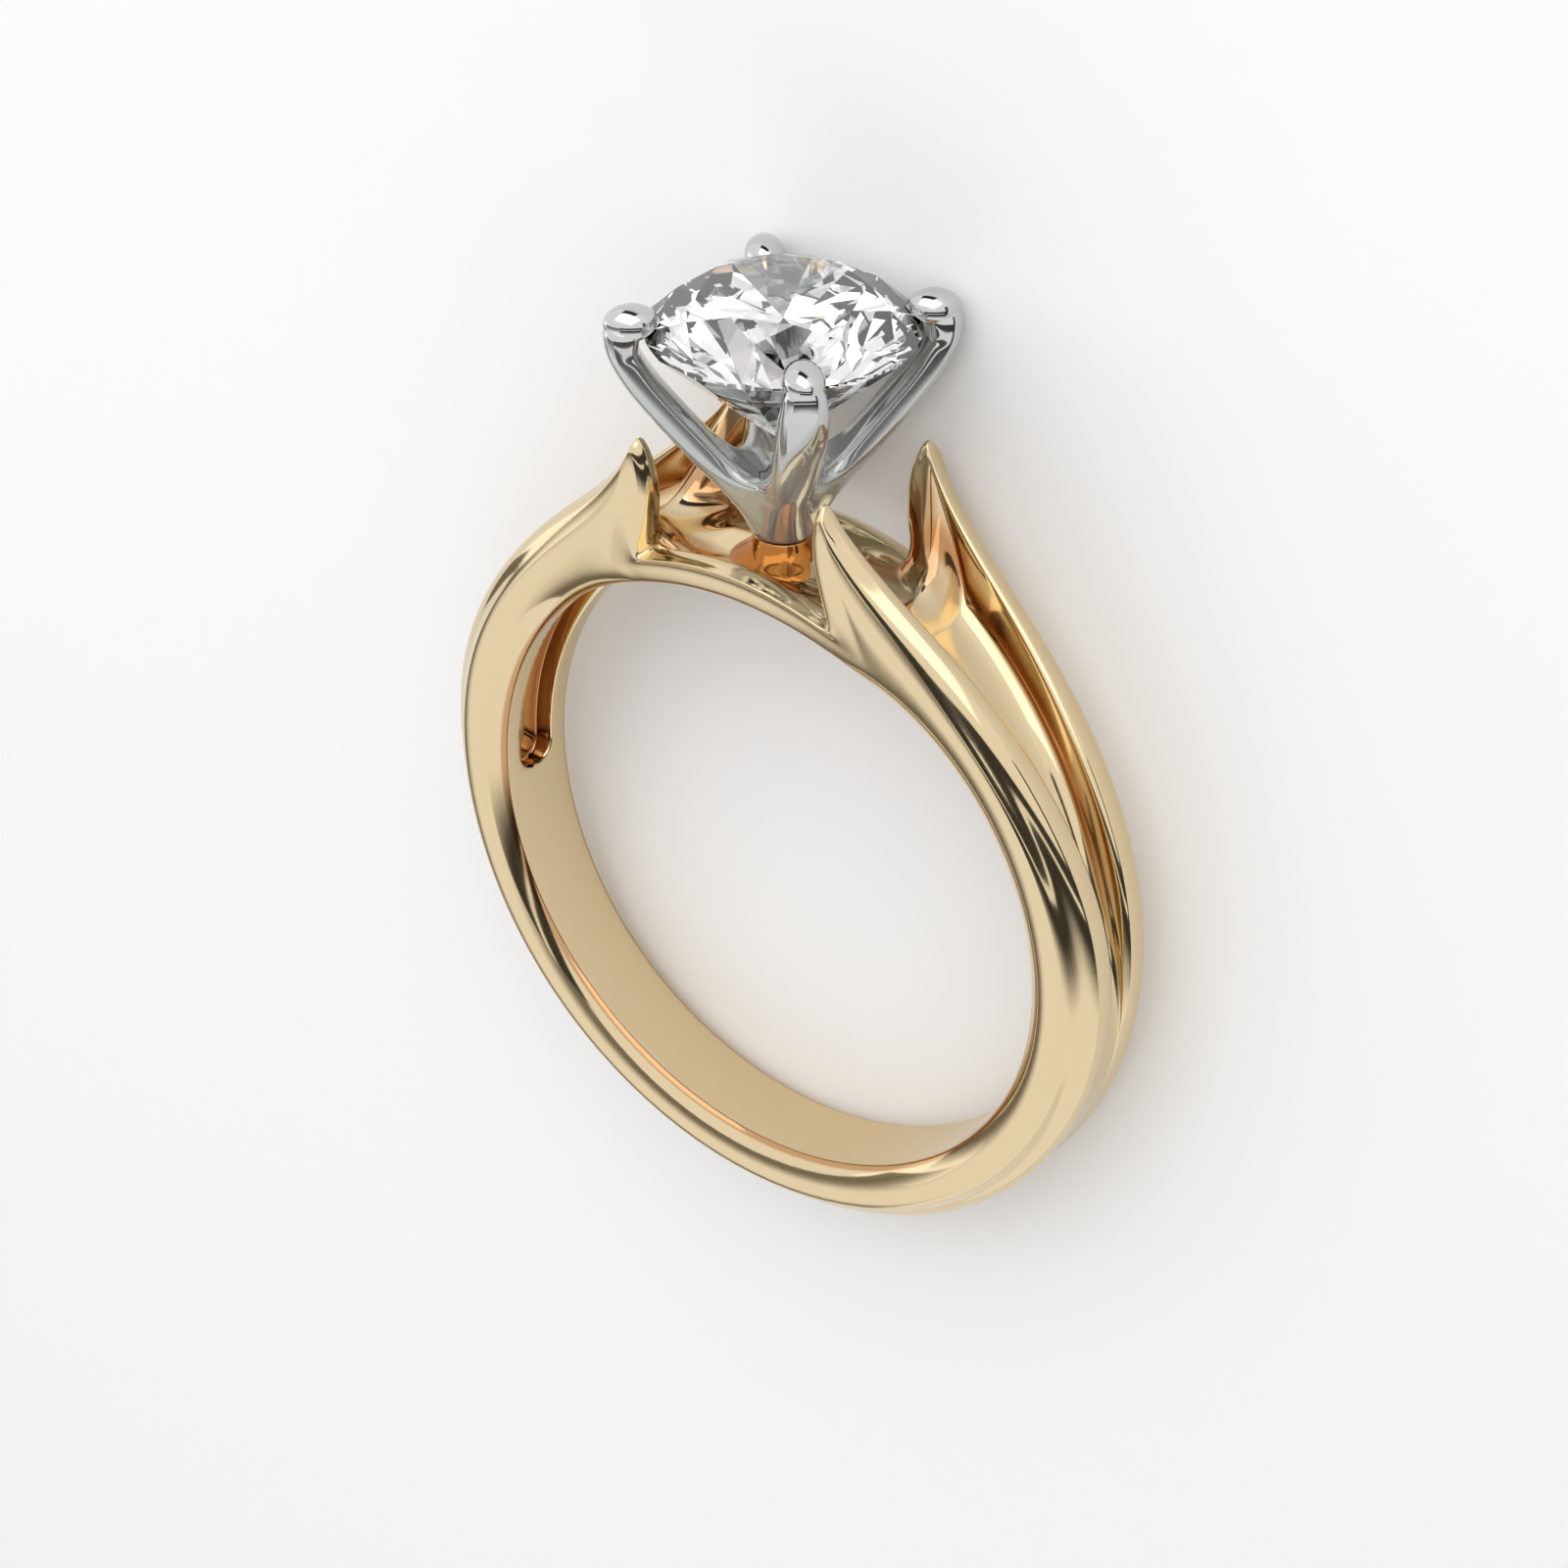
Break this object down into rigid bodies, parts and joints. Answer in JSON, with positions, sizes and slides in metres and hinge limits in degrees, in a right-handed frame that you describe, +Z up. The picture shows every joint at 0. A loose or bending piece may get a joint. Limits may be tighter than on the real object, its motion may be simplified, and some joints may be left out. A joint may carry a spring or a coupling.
{
  "type": "split shank engagement ring",
  "caption": "Yellow gold finger ring whose split shoulders rise into pointed leaves beside a prong-set round brilliant.",
  "frame": {"origin": "middle of the finger hole, on its axis", "axes": "the ring lies on its back: +Y along the floor from the finger hole towards the stone, tilted up with it by 4.2 degrees, +X across the finger hole, +Z up, out of the ring's front"},
  "size_m": [0.021, 0.0268, 0.0067],
  "materials": {
    "yellow_gold": "polished",
    "white_gold": "polished",
    "stone": "faceted and polished"
  },
  "bodies": {
    "root": {"shank": "yellow_gold", "setting": "white_gold", "stone": "stone"}
  },
  "joints": []
}
